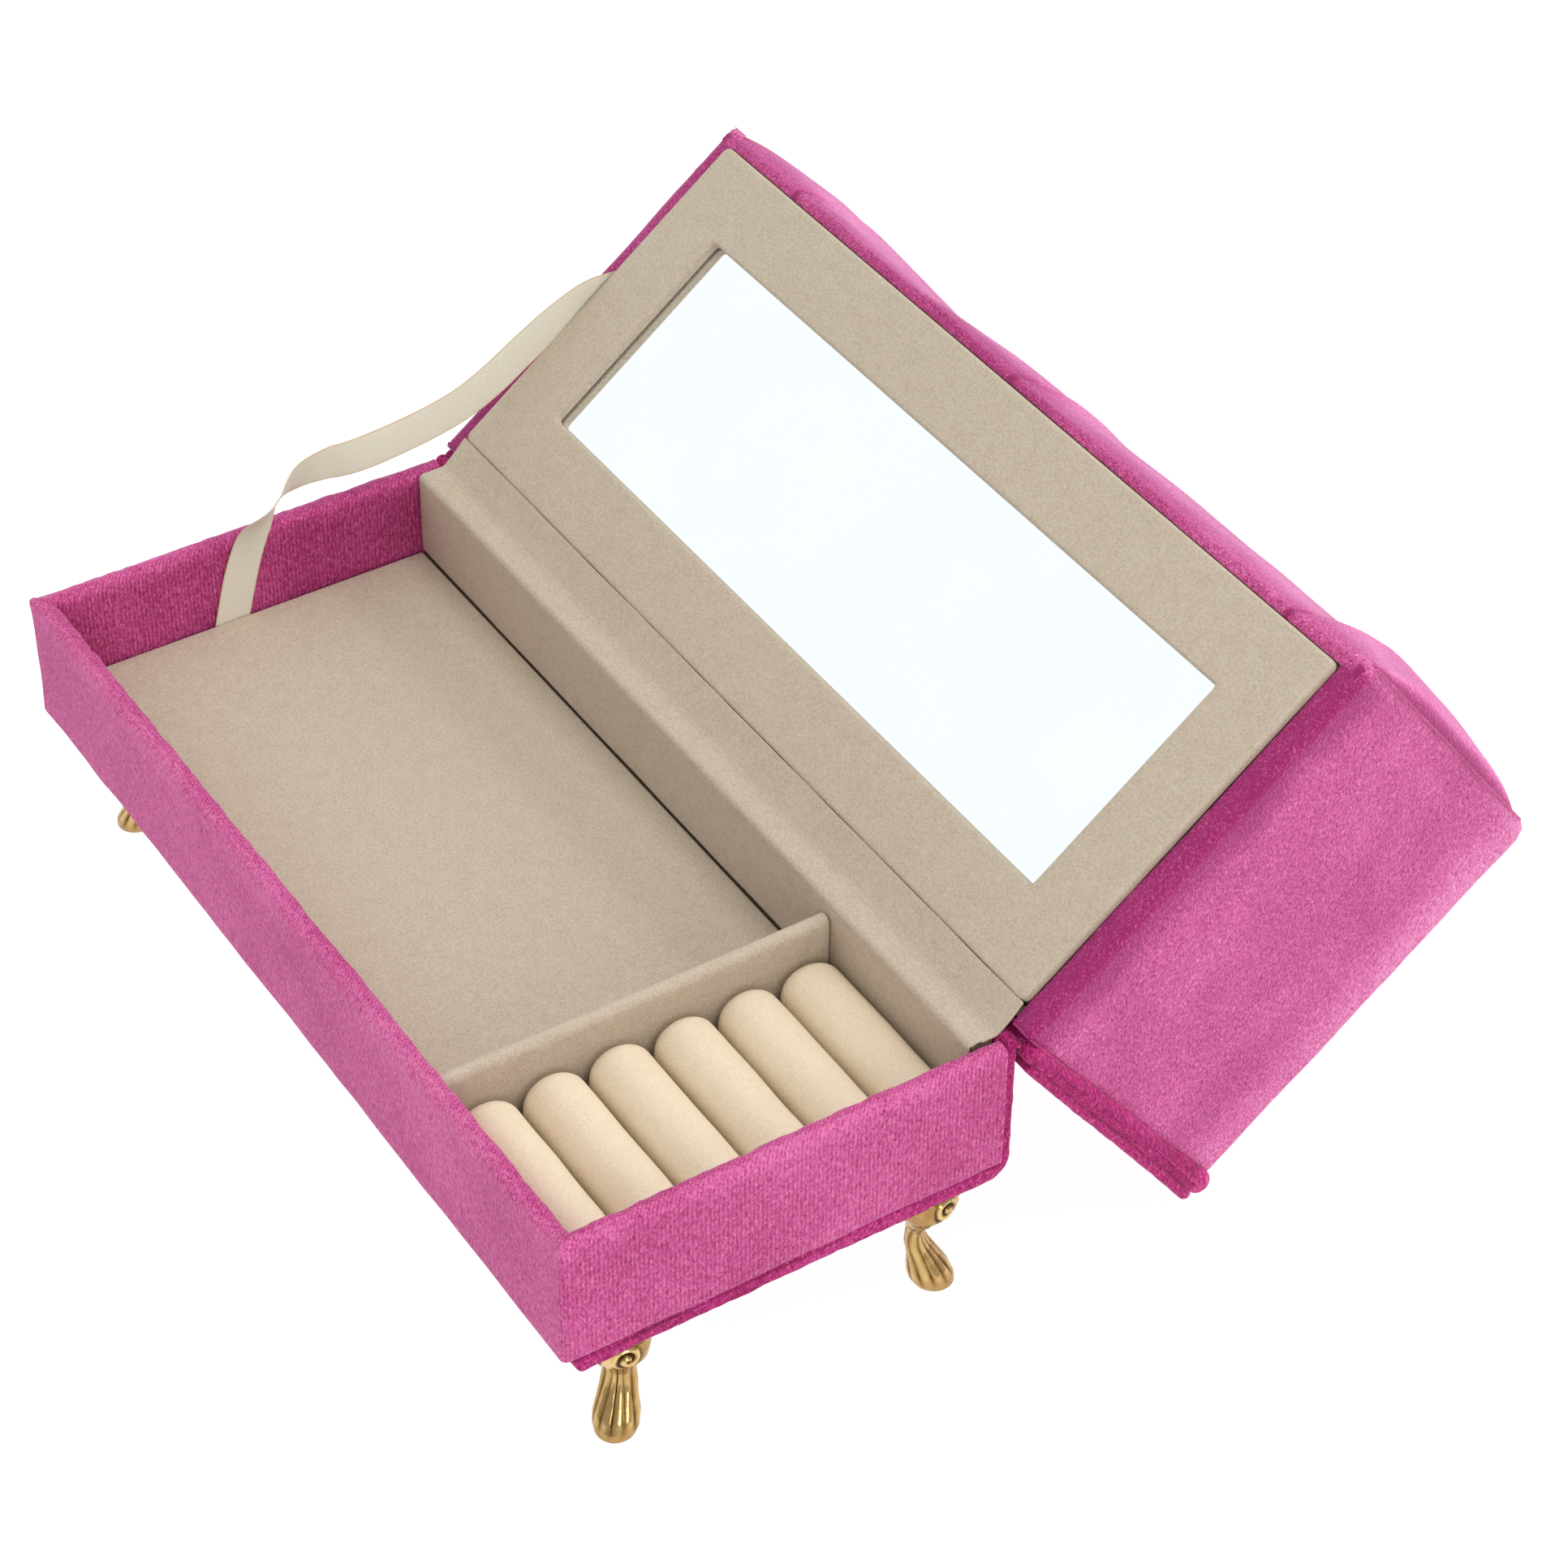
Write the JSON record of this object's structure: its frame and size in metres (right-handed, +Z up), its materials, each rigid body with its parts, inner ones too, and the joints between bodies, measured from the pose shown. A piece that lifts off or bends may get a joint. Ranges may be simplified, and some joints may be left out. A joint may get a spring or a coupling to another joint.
{
  "type": "jewelry box",
  "caption": "Velvet-covered jewelry box on cast feet: open tray with ring rolls and divider, deep padded hinged lid with a mirror panel and a ribbon stay.",
  "frame": {"origin": "on the table under the middle of the open box's footprint", "axes": "+X along the box to the ring end, +Y towards the hinge and the open lid, +Z up"},
  "size_m": [0.2192, 0.2154, 0.1189],
  "materials": {
    "velvet": "cut-pile velvet",
    "suede": "microfibre suede",
    "roll_suede": "microfibre suede over foam",
    "satin": "satin ribbon",
    "board": "fibreboard",
    "foam": "open-cell foam",
    "foot_gold": "antique gold plate",
    "fastener_steel": "zinc plated",
    "mirror": "silvered glass"
  },
  "bodies": {
    "tray": {"foot_front_left": "foot_gold", "foot_screw_front_left": "fastener_steel", "foot_washer_front_left": "fastener_steel", "foot_front_right": "foot_gold", "foot_screw_front_right": "fastener_steel", "foot_washer_front_right": "fastener_steel", "foot_rear_left": "foot_gold", "foot_screw_rear_left": "fastener_steel", "foot_washer_rear_left": "fastener_steel", "foot_rear_right": "foot_gold", "foot_screw_rear_right": "fastener_steel", "foot_washer_rear_right": "fastener_steel", "case_cover_velvet": "velvet", "case_base_board": "board", "lower_spine_board": "board", "front_wall_velvet": "velvet", "front_wall_board": "board", "left_wall_velvet": "velvet", "left_wall_board": "board", "right_wall_velvet": "velvet", "right_wall_board": "board", "back_wall_board": "board", "back_wall_lining": "suede", "tray_floor_board": "board", "floor_riser_foam": "foam", "floor_pad": "suede", "ring_base_board": "board", "divider_board": "board", "divider_suede": "suede", "ring_roll_1": "roll_suede", "ring_roll_2": "roll_suede", "ring_roll_3": "roll_suede", "ring_roll_4": "roll_suede", "ring_roll_5": "roll_suede", "ring_roll_6": "roll_suede", "hinge_lining": "suede", "hinge_velvet": "velvet", "ribbon_stay": "satin"},
    "lid": {"lid_front_board": "board", "lid_back_board": "board", "lid_top_board": "board", "lid_left_board": "board", "lid_left_velvet": "velvet", "lid_right_board": "board", "lid_right_velvet": "velvet", "lid_front_foam": "foam", "lid_top_foam": "foam", "lid_cover_velvet": "velvet", "mirror_panel": "suede", "mirror_glass": "mirror", "lid_mouth_frame": "board", "mirror_backing": "board", "spine_roll": "velvet", "upper_spine_velvet": "velvet", "upper_spine_board": "board"}
  },
  "joints": [
    {"name": "lid_hinge", "type": "hinge", "parent": "tray", "child": "lid", "pos_m": [0, -0.01246, 0.0623], "axis": [1, 0, 0], "range_deg": [0, 142.46], "deforming": ["hinge_lining", "hinge_velvet", "ribbon_stay"]}
  ]
}
